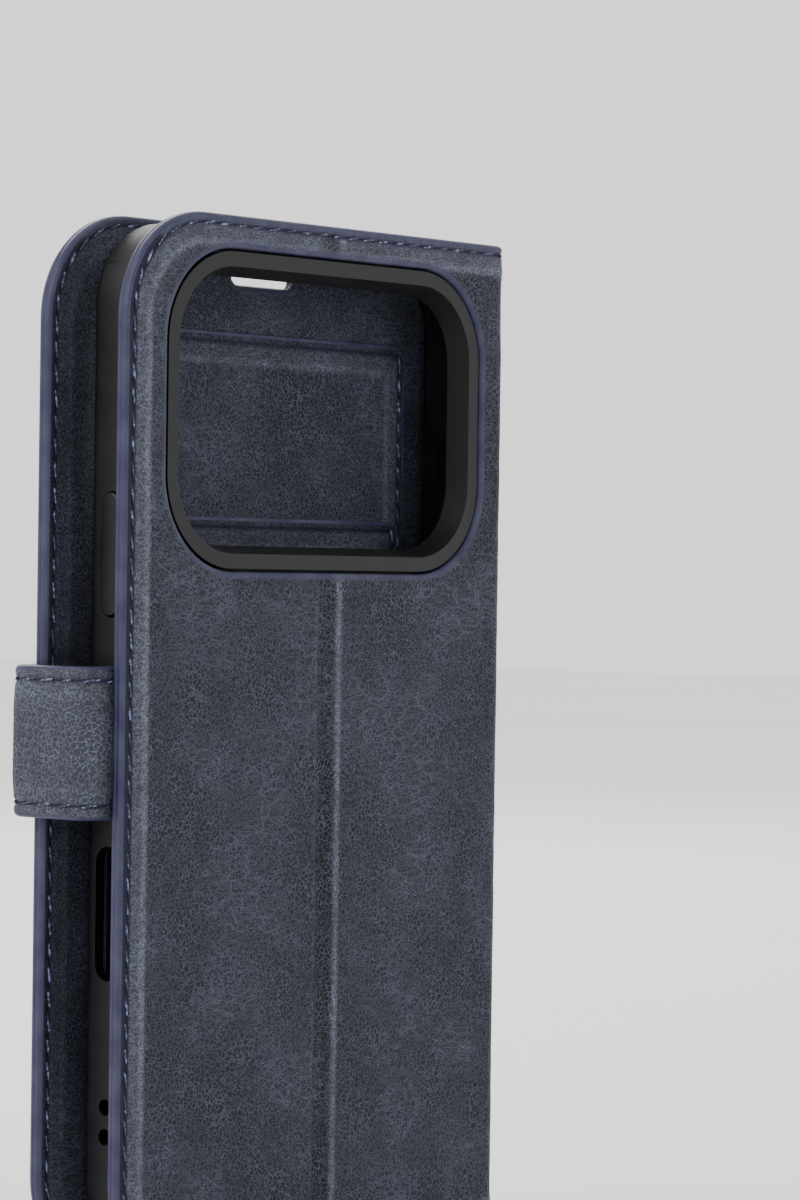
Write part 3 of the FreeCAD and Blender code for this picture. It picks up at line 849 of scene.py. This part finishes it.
def lining_relief(blank, inset):
    """Depth of the inner face, with its rolled edge, seam groove and fine unevenness."""
    def depth(s, z, outer, hole):
        side = min(outer, hole)
        groove = groove_at(outer, inset, LINING_GROOVE) * smooth_step(side, 0.3 * MM, 1.0 * MM)
        swell = 0.03 * MM * (1 + ripple(s, z, 60, 60, 9.3)) * smooth_step(side, 0.4 * MM, 3 * MM)
        return blank.thickness - blank.rolled(side) - groove - swell
    return depth


def fold_ways():
    """Where each fold of the cover starts and ends to bend, for the pieces that cross it."""
    cover = bpy.context.scene.case_cover
    reach = Vector((cover.fold_reach, cover.fold_reach, 0)) / math.sqrt(2)
    back, front = JOINTS["spine_back_fold"], JOINTS["flap_fold"]
    crease = JOINTS["kickstand_fold"]
    turned = Vector((reach.x, -reach.y, 0))
    along = Vector((cover.crease_reach, 0, 0))
    return {
        "back": ("holder", "wing", crease + along, crease - along),
        "corner": ("wing", "spine", back + reach, back - reach),
        "front": ("spine", "flap", front - turned, front + turned),
    }


def cover_spans():
    at = cover_places()
    return {
        "back": (0.0, at["wing_seam"]),
        "corner": (at["wing_seam"], at["spine_seam"]),
        "front": (at["spine_seam"], at["end"]),
    }


COVER_NODES = {
    "back": {"skin": ("back_skin", "wing_skin"), "lining": ("back_lining", "wing_lining")},
    "corner": {"skin": ("spine_skin",), "lining": ("spine_lining",)},
    "front": {"skin": ("flap_skin",), "lining": ("flap_lining",)},
}


def dress(piece, material, slot):
    piece.data.materials.clear()
    piece.data.materials.append(material)


MADE = {}


class CASE_OT_finishes(bpy.types.Operator):
    """Write the case's materials"""
    bl_idname = "case.finishes"
    bl_label = "Finishes"

    def execute(self, context):
        tone = context.scene.case_finish
        outer = (tone.leather_dark, tone.leather_mid, tone.leather_line, tone.leather_rub_and_highlight,
                 tone.edge_paint, tone.seam_navy)
        # The lining and pockets use the outer leather's tones with a darker low tone, which is painted shade.
        inner = (tone.lining_shaded_dark, tone.leather_mid, tone.leather_line, tone.leather_rub_and_highlight,
                 tone.edge_paint, tone.seam_navy)
        seam = context.scene.case_seam
        MADE["leather"] = leather("oiled_leather", outer, 0.74 * MM, 1.0, 0.92, seam.cover_inset)
        MADE["strap"] = leather("strap_leather", outer, 0.86 * MM, 0.15, 0.0, seam.strap_inset)
        MADE["lining"] = leather("lining_leather", inner, 0.6 * MM, 0.3, 0.5, seam.cover_inset)
        MADE["pocket"] = leather("pocket_leather", inner, 0.7 * MM, 0.5, 0.3, seam.pocket_inset)
        MADE["thread"] = thread_finish(tone.thread_highlight, tone.seam_navy)
        MADE["shell"] = moulded("moulded_shell", tone.shell_black, 0.40)
        MADE["button"] = moulded("moulded_button", tone.shell_black, 0.32)
        MADE["board"] = board_finish(tone.board_grey)
        MADE["foam"] = foam_finish()
        MADE["steel"] = metal_finish("catch_steel", (0.62, 0.62, 0.64), (0.1, 1.0, 1.0))
        MADE["magnet"] = metal_finish("plated_magnet", (0.70, 0.68, 0.64), (1.0, 1.0, 1.0))
        return {"FINISHED"}


class CASE_OT_cover(bpy.types.Operator):
    """Lay the cover's outer leather and lining round the boards"""
    bl_idname = "case.cover"
    bl_label = "Cover"

    def execute(self, context):
        cover = context.scene.case_cover
        blank = cover_blank()
        at = cover_places()
        ways = fold_ways()

        # Painted highlight on the stand crease's two ridges, painted shade in its channel (below zero), and a
        # lighter band along each spine fold.
        def wear_and_painted_light(s, z):
            across = s - at["crease"]
            lines = hills(across, CREASE_HIGHLIGHTS) / MM - channel(across)
            for low, high in (at["back_fold"], at["front_fold"]):
                lines += 0.7 * bump_at(s, (low + high) / 2, 1.6 * MM)
            return lines

        layers = {
            "skin": (cover_relief(blank), plain_back(blank, cover.skin, True),
                     True, "leather", "outer_leather"),
            "lining": (lining_relief(blank, context.scene.case_seam.cover_inset),
                       plain_back(blank, cover.lining, False), False, "lining", "lining_leather"),
        }
        for part, span in cover_spans().items():
            for layer, (face, back, outward, material, slot) in layers.items():
                piece = layer_mesh(f"cover_{part}_{layer}", blank, span, face, back, wear_and_painted_light, outward)
                dress(piece, MADE[material], slot)
                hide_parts(*COVER_NODES[part][layer])
                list(ways[part])
                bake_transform(piece)
        return {"FINISHED"}


# Strap

def strap_blank():
    """The strap laid flat, from its hidden end behind the back panel to the tab's tip."""
    strap = bpy.context.scene.case_strap
    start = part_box("inner_shell")[1].x + 0.5 * MM
    first = STRAP_X - strap.back_bend - start
    side = STRAP_Y - TAB_LOW.y - strap.back_bend - strap.front_bend
    last = STRAP_X - strap.front_bend - TAB_LOW.x
    steps = [("run", first), ("turn", strap.back_bend), ("run", side),
             ("turn", strap.front_bend), ("run", last)]
    path = StrapPath((start, BACK_Y - PANEL), (1.0, 0.0), steps)
    tip = strap.tip_round
    outline = Outline(-20 * MM, path.total, TAB_LOW.z, TAB_HIGH.z, [tip, tip, 0.0, 0.0])
    bend = (first - 2 * MM, first + (strap.back_bend + strap.front_bend) * math.pi / 2 + side + 2 * MM)
    middle = first + strap.back_bend * math.pi / 2 + side / 2
    blank = Blank(path, outline, strap.thickness, 1.0 * MM, 4.2 * MM, (), (0.0, middle), (bend,))
    return blank, middle


class StrapPath(Path):
    """The strap's plan line. It turns the other way from the cover, so its outward side is mirrored."""

    def __init__(self, start, heading, steps):
        mirrored = (start[0], -start[1])
        super().__init__(mirrored, heading, steps)

    def at(self, s):
        place, out, radius = super().at(s)
        return Vector((place.x, -place.y)), Vector((out.x, -out.y)), radius


class CASE_OT_strap(bpy.types.Operator):
    """Make the closing strap in two halves that meet at the middle of the side"""
    bl_idname = "case.strap"
    bl_label = "Strap"

    def execute(self, context):
        strap = context.scene.case_strap
        seam = context.scene.case_seam
        blank, middle = strap_blank()

        def face(s, z, outer, hole):
            swell = -strap.puff * smooth_step(outer, 1.6 * MM, 6.5 * MM)
            groove = groove_at(outer, seam.strap_inset, STRAP_GROOVE)
            ease = smooth_step(outer, 0.4 * MM, 1.2 * MM)
            uneven = 0.12 * MM * ripple(s, z, 70, 90, 5.2)
            return blank.rolled(outer) + ease * (swell + groove + uneven)

        # Lighter over the strap's side and its two bends: painted highlight on the curves, with some worn
        # leather.
        def wear_and_painted_light(s, z):
            low, high = middle - 9 * MM, middle + 12 * MM
            return 0.50 * smooth_step(s, low - 4 * MM, low) * (1 - smooth_step(s, high, high + 5 * MM))

        reach = Vector((strap.bend_reach, strap.bend_reach, 0)) / math.sqrt(2)
        turned = Vector((reach.x, -reach.y, 0))
        back, front = JOINTS["strap_side_bend"], JOINTS["strap_tab_bend"]
        halves = {
            "back": ((0.0, middle), ("holder", "strap_side", back - turned, back + turned),
                     ("strap_anchor", "strap_side_skin"), ("strap_side_lining",)),
            "front": ((middle, blank.path.total), ("strap_side", "strap_tab", front + reach, front - reach),
                      ("strap_tab_skin",), ("strap_tab_lining",)),
        }
        skin_back = plain_back(blank, strap.skin, True)
        inner, lining_back = lining_relief(blank, seam.strap_inset), plain_back(blank, strap.lining, False)
        for half, (span, way, skins, linings) in halves.items():
            piece = layer_mesh(f"strap_{half}_skin", blank, span, face, skin_back, wear_and_painted_light, False)
            dress(piece, MADE["strap"], "outer_leather")
            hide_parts(*skins)
            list(way)
            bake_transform(piece)
            piece = layer_mesh(f"strap_{half}_lining", blank, span, inner, lining_back, no_wear, True)
            dress(piece, MADE["lining"], "lining_leather")
            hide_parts(*linings)
            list(way)
            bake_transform(piece)
        MADE["strap_way"] = {half: way for half, (_, way, _, _) in halves.items()}
        return {"FINISHED"}


# Pockets

class LevelPath:
    """A flat sheet that faces +Y, at its outer level."""

    def __init__(self, start, level):
        self.start = start
        self.level = level

    def point(self, s, z, depth):
        return Vector((self.start + s, self.level - depth, z))

    def out(self, s):
        return Vector((0.0, 1.0, 0.0))


POCKET_ROUND = 3 * MM
MOUTH_ROUND = 1 * MM
MOUTH_REACH = 30 * MM
POCKET_NODES = ("cash_pocket", "card_pocket_upper", "card_pocket_middle", "card_pocket_lower")


def pocket_blank(node):
    low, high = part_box(node)
    path = LevelPath(low.x, high.y)
    mouth = POCKET_ROUND if node == "cash_pocket" else MOUTH_ROUND
    outline = Outline(0.0, high.x - low.x, low.z, high.z, [POCKET_ROUND, mouth, mouth, POCKET_ROUND])
    return Blank(path, outline, high.y - low.y, 1.6 * MM, 3.4 * MM)


class CASE_OT_pockets(bpy.types.Operator):
    """Make the cash pocket and the stepped card pockets inside the flap"""
    bl_idname = "case.pockets"
    bl_label = "Pockets"

    def execute(self, context):
        for node in POCKET_NODES:
            blank = pocket_blank(node)
            _, width, z0, z1 = blank.outline.box

            def face(s, z, outer, hole):
                across = math.pi * min(1.0, max(0.0, s / width))
                mouth = smooth_step(z, z1 - MOUTH_REACH, z1) * math.sin(across)
                fold = 0.04 * MM * bump_at(z1 - z, 1.8 * MM, 0.35 * MM)
                uneven = 0.02 * MM * ripple(s, z, 50, 50, z1 * 90)
                return blank.rolled(outer) + fold - (0.10 * MM * mouth + uneven) * smooth_step(outer, 0, MM)

            def back(s, z, outer, hole):
                return blank.thickness * (0.5 + 0.5 * smooth_step(outer, 0.0, 0.3 * MM))

            piece = layer_mesh(node + "_leather", blank, (-MM, width + MM), face, back, no_wear, True)
            piece.data.flip_normals()
            dress(piece, MADE["pocket"], "pocket_leather")
            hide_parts(node)
            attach(piece, "flap")
        return {"FINISHED"}


# Seams

def stitch_tree():
    """Geometry Nodes: one rounded stitch at each pitch along a line, turned to the face's outward way."""
    tree = bpy.data.node_groups.new("stitch_line", "GeometryNodeTree")
    kinds = {"Geometry": "Geometry", "Pitch": "Float", "Stitch": "Float", "Thread": "Float", "Slant": "Float",
             "Seed": "Int", "Material": "Material"}
    for name, kind in kinds.items():
        tree.interface.new_socket(name=name, in_out="INPUT", socket_type="NodeSocket" + kind)
    tree.interface.new_socket(name="Geometry", in_out="OUTPUT", socket_type="NodeSocketGeometry")
    given = add_node(tree, "NodeGroupInput").outputs

    def node(kind, inputs=None, output=0, **settings):
        return add_node(tree, kind, settings, inputs).outputs[output]

    line = node("GeometryNodeMeshToCurve", {0: given["Geometry"]})
    spaced = {"Curve": line, "Length": given["Pitch"]}
    points = node("GeometryNodeResampleCurve", spaced, mode="LENGTH")
    out = node("GeometryNodeInputNamedAttribute", {"Name": "out"}, data_type="FLOAT_VECTOR")
    axes = {0: out, 1: node("GeometryNodeInputTangent")}
    turn = node("FunctionNodeAxesToRotation", axes, primary_axis="Z", secondary_axis="X")
    drop = node("GeometryNodeMeshUVSphere", {"Segments": 8, "Rings": 6, "Radius": 0.5})
    size = node("ShaderNodeCombineXYZ", {"X": given["Stitch"], "Y": given["Thread"], "Z": given["Thread"]})
    stitch = node("GeometryNodeTransform", {"Geometry": drop, "Scale": size})
    slant = node("ShaderNodeCombineXYZ", {"Z": given["Slant"]})
    leaning = node("GeometryNodeTransform", {"Geometry": stitch, "Rotation": slant})
    vary = node("FunctionNodeRandomValue", {2: 0.86, 3: 1.12, "Seed": given["Seed"]}, 1)
    laid = {"Points": points, "Instance": leaning, "Rotation": turn, "Scale": vary}
    plain = node("GeometryNodeRealizeInstances", {0: node("GeometryNodeInstanceOnPoints", laid)})
    soft = node("GeometryNodeSetShadeSmooth", {0: plain})
    finished = node("GeometryNodeSetMaterial", {0: soft, "Material": given["Material"]})
    add_node(tree, "NodeGroupOutput", None, {0: finished})
    return tree


def sew(name, runs):
    """Stitches along open runs of (point, outward way), as one plain mesh."""
    seam = bpy.context.scene.case_seam
    verts = [point for run in runs for point, _ in run]
    ways = [way for run in runs for _, way in run]
    edges, first = [], 0
    for run in runs:
        edges += [(first + i, first + i + 1) for i in range(len(run) - 1)]
        first += len(run)
    mesh = bpy.data.meshes.new(name)
    mesh.from_pydata(verts, edges, [])
    out = mesh.attributes.new("out", "FLOAT_VECTOR", "POINT")
    out.data.foreach_set("vector", [n for way in ways for n in way])
    line = bpy.data.objects.new(name + "_line", mesh)
    bpy.context.scene.collection.objects.link(line)
    tree = bpy.data.node_groups.get("stitch_line") or stitch_tree()
    modifier = line.modifiers.new("stitches", "NODES")
    modifier.node_group = tree
    values = {"Pitch": seam.pitch, "Stitch": seam.stitch, "Thread": seam.thread, "Slant": seam.slant,
              "Seed": seam.seed, "Material": MADE["thread"]}
    for item in tree.interface.items_tree:
        if item.in_out == "INPUT" and item.name in values:
            modifier[item.identifier] = values[item.name]
    shown = line.evaluated_get(bpy.context.evaluated_depsgraph_get())
    stitches = bpy.data.objects.new(name, bpy.data.meshes.new_from_object(shown))
    bpy.context.scene.collection.objects.link(stitches)
    line.modifiers.clear()
    bpy.data.objects.remove(line)
    if not stitches.data.polygons:
        raise RuntimeError(name + " has no stitches")
    stitches.data.materials.clear()
    stitches.data.materials.append(MADE["thread"])
    return stitches


def seam_runs(blank, inset, depth, outward, span, top=1.0):
    """Runs of the outline's loop at an inset, inside a span along the hide and below a height.

    They are laid on a face at a depth.
    """
    loop = blank.outline.loop(inset, 0.6 * MM)
    kept = [span[0] <= s < span[1] and z < top for s, z in loop]
    if all(kept):
        return [[seam_point(blank, p, depth, outward) for p in loop]]
    first = next(i for i in range(len(loop)) if not kept[i])
    runs, run = [], []
    for k in range(len(loop)):
        i = (first + k) % len(loop)
        if kept[i]:
            run.append(seam_point(blank, loop[i], depth, outward))
        elif run:
            runs.append(run)
            run = []
    if run:
        runs.append(run)
    return [r for r in runs if len(r) > 4]


def seam_point(blank, place, depth, outward):
    s, z = place
    way = blank.path.out(s)
    return blank.path.point(s, z, depth), way if outward else -way


class CASE_OT_seams(bpy.types.Operator):
    """Sew the cover, the strap and the pockets"""
    bl_idname = "case.seams"
    bl_label = "Seams"

    def execute(self, context):
        seam = context.scene.case_seam
        cover = cover_blank()
        ways = fold_ways()
        for part, span in cover_spans().items():
            for side, depth in (("outer", 0.20 * MM), ("inner", PANEL - 0.08 * MM)):
                runs = seam_runs(cover, seam.cover_inset, depth, side == "outer", span)
                piece = sew(f"cover_{part}_stitches_{side}", runs)
                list(ways[part])
                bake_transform(piece)
        strap, middle = strap_blank()
        for half, span in {"back": (4 * MM, middle), "front": (middle, strap.path.total)}.items():
            for side, depth in (("outer", 0.14 * MM), ("inner", strap.thickness - 0.08 * MM)):
                runs = seam_runs(strap, seam.strap_inset, depth, side == "outer", span)
                piece = sew(f"strap_{half}_stitches_{side}", runs)
                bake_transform(piece)
        for node in POCKET_NODES:
            blank = pocket_blank(node)
            _, width, _, top = blank.outline.box
            runs = seam_runs(blank, seam.pocket_inset, -0.05 * MM, True, (0.0, width), top - 2.5 * MM)
            piece = sew(node + "_stitches", runs)
            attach(piece, "flap")
        return {"FINISHED"}


# Shell, buttons and hidden parts

def eased_copy(node, name, width):
    """A copy of a CAD piece with joined faces and small rounded edges."""
    source = frame["nodes"][node]
    mesh = source.data.copy()
    mesh.name = name
    made = bpy.data.objects.new(name, mesh)
    bpy.context.scene.collection.objects.link(made)
    work = bmesh.new()
    work.from_mesh(mesh)
    bmesh.ops.remove_doubles(work, verts=work.verts, dist=0.002 * MM)
    bmesh.ops.dissolve_limit(work, angle_limit=math.radians(1.0), verts=work.verts, edges=work.edges)
    for face in work.faces:
        face.smooth = True
    for edge in work.edges:
        edge.smooth = edge.calc_face_angle(0.0) < math.radians(35)
    work.to_mesh(mesh)
    work.free()
    bevel = made.modifiers.new("eased_edges", "BEVEL")
    bevel.width = width
    bevel.segments = 3
    bevel.limit_method = "ANGLE"
    bevel.angle_limit = math.radians(38)
    bevel.use_clamp_overlap = True
    bevel.harden_normals = True
    return made


SHELL_PARTS = {
    "inner_shell": ("moulded_shell", "holder", "shell", "shell_tpu", 0.22 * MM),
    "power_button_cover": ("power_button_pad", "power_button", "button", "button_tpu", 0.12 * MM),
    "action_button_cover": ("action_button_pad", "action_button", "button", "button_tpu", 0.08 * MM),
    "volume_up_cover": ("volume_up_pad", "volume_up", "button", "button_tpu", 0.08 * MM),
    "volume_down_cover": ("volume_down_pad", "volume_down", "button", "button_tpu", 0.08 * MM),
}
HIDDEN_PARTS = {
    "shell_tape": "foam",
    "back_board": "board",
    "wing_board": "board",
    "spine_board": "board",
    "flap_board": "board",
    "strap_tab_board": "board",
    "catch_plate": "steel",
    "strap_magnet": "magnet",
}


class CASE_OT_shell(bpy.types.Operator):
    """Finish the moulded shell and its button covers"""
    bl_idname = "case.shell"
    bl_label = "Shell and buttons"

    def execute(self, context):
        for node, (name, body, material, slot, width) in SHELL_PARTS.items():
            piece = eased_copy(node, name, width)
            dress(piece, MADE[material], slot)
            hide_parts(node)
            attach(piece, body)
        return {"FINISHED"}


class CASE_OT_hidden(bpy.types.Operator):
    """Finish the boards, tape, plate and magnet inside the leather"""
    bl_idname = "case.hidden"
    bl_label = "Hidden parts"

    def execute(self, context):
        for node, material in HIDDEN_PARTS.items():
            mesh = frame["nodes"][node].data
            mesh.materials.clear()
            mesh.materials.append(MADE[material])
        return {"FINISHED"}


# Stage

# Each lamp: its place across, ahead of and above the case's middle, its size, its power and its colour.
LIGHTS = {
    "key": ((-0.75, 0.55, 0.65), (0.7, 0.9), 8.0, (1.0, 1.0, 1.0)),
    "fill": ((0.85, 0.7, 0.25), (0.8, 0.8), 3.0, (0.97, 0.98, 1.0)),
    "rim": ((-0.2, -0.9, 0.6), (0.9, 0.5), 5.0, (1.0, 1.0, 1.0)),
}
WORLD_STRENGTH = 1.45
FLOOR_DROP = 0.02 * MM


def soft_light(name, place, aim, size, power, tint):
    """A square area light that looks at a point."""
    lamp = bpy.data.lights.new(name, "AREA")
    lamp.shape = "RECTANGLE"
    lamp.size, lamp.size_y = size
    lamp.energy = power
    lamp.color = tint
    made = bpy.data.objects.new(name, lamp)
    made.location = place
    made.rotation_euler = (Vector(aim) - Vector(place)).to_track_quat("-Z", "Y").to_euler()
    bpy.context.scene.collection.objects.link(made)


def floor_finish():
    made = Finish("pale_floor")
    place = made.piece_place()
    grain = made.clouds(place, 0.4, 3.0, 0.5)
    base = made.mix(grain, linear((0.93, 0.93, 0.935)), linear((0.97, 0.97, 0.97)))
    return made.surface(base, 0.75 + grain * 0.1)


class CASE_OT_stage(bpy.types.Operator):
    """Set the camera, the soft lights and the pale floor"""
    bl_idname = "case.stage"
    bl_label = "Stage"

    def execute(self, context):
        stage = context.scene.case_stage
        az, el = stage.azimuth, stage.elevation
        middle = (CAD_BOX[0] + CAD_BOX[1]) / 2
        back = Vector((math.sin(az) * math.cos(el), -math.cos(az) * math.cos(el), math.sin(el)))
        right = Vector((math.cos(az), math.sin(az), 0.0))
        up = back.cross(right)
        aim = middle + right * stage.aim_across + up * stage.aim_up
        data = bpy.data.cameras.new("view")
        data.lens = stage.lens
        data.clip_start = 0.01
        camera = bpy.data.objects.new("view", data)
        camera.location = aim + back * stage.distance
        lean = right * math.cos(stage.roll) + up * math.sin(stage.roll)
        camera.rotation_euler = Matrix((lean, back.cross(lean), back)).transposed().to_euler()
        context.scene.collection.objects.link(camera)
        context.scene.camera = camera
        half = stage.floor
        mesh = bpy.data.meshes.new("floor")
        corners = [(-half, -half, 0), (half, -half, 0), (half, half, 0), (-half, half, 0)]
        mesh.from_pydata([Vector(c) - Vector((0, 0, FLOOR_DROP)) for c in corners], [], [(0, 1, 2, 3)])
        floor = bpy.data.objects.new("floor", mesh)
        floor.data.materials.append(floor_finish())
        context.scene.collection.objects.link(floor)
        world = bpy.data.worlds.new("studio")
        world.use_nodes = True
        light = world.node_tree.nodes["Background"].inputs
        light["Color"].default_value = (1.0, 1.0, 1.0, 1.0)
        light["Strength"].default_value = WORLD_STRENGTH
        context.scene.world = world
        for name, ((across, ahead, high), size, power, tint) in LIGHTS.items():
            place = middle + right * across + back * ahead + Vector((0, 0, high))
            soft_light(name, place, middle, size, power, tint)
        return {"FINISHED"}


class CASE_PT_panel(bpy.types.Panel):
    """Steps of the wallet case in the 3D view's sidebar"""
    bl_idname = "CASE_PT_panel"
    bl_label = "Wallet case"
    bl_space_type = "VIEW_3D"
    bl_region_type = "UI"
    bl_category = "Wallet case"

    def draw(self, context):
        for step in STEPS:
            self.layout.operator(step.bl_idname)
        for group, kind in SETTINGS.items():
            box = self.layout.box()
            box.label(text=kind.__doc__)
            for name in kind.__annotations__:
                box.prop(getattr(context.scene, group), name)


STEPS = (CASE_OT_stage, CASE_OT_finishes, CASE_OT_cover, CASE_OT_strap, CASE_OT_pockets, CASE_OT_seams,
         CASE_OT_shell, CASE_OT_hidden)
CLASSES = (*SETTINGS.values(), *STEPS, CASE_PT_panel)


def register():
    for kind in CLASSES:
        bpy.utils.register_class(kind)
    for group, kind in SETTINGS.items():
        setattr(bpy.types.Scene, group, PointerProperty(type=kind))


def unregister():
    for group in SETTINGS:
        delattr(bpy.types.Scene, group)
    for kind in reversed(CLASSES):
        bpy.utils.unregister_class(kind)


def main():
    register()
    bpy.ops.case.stage()
    bpy.ops.case.finishes()
    bpy.ops.case.cover()
    bpy.ops.case.strap()
    bpy.ops.case.pockets()
    bpy.ops.case.seams()
    bpy.ops.case.shell()
    bpy.ops.case.hidden()


if __name__ == "__main__":
    main()
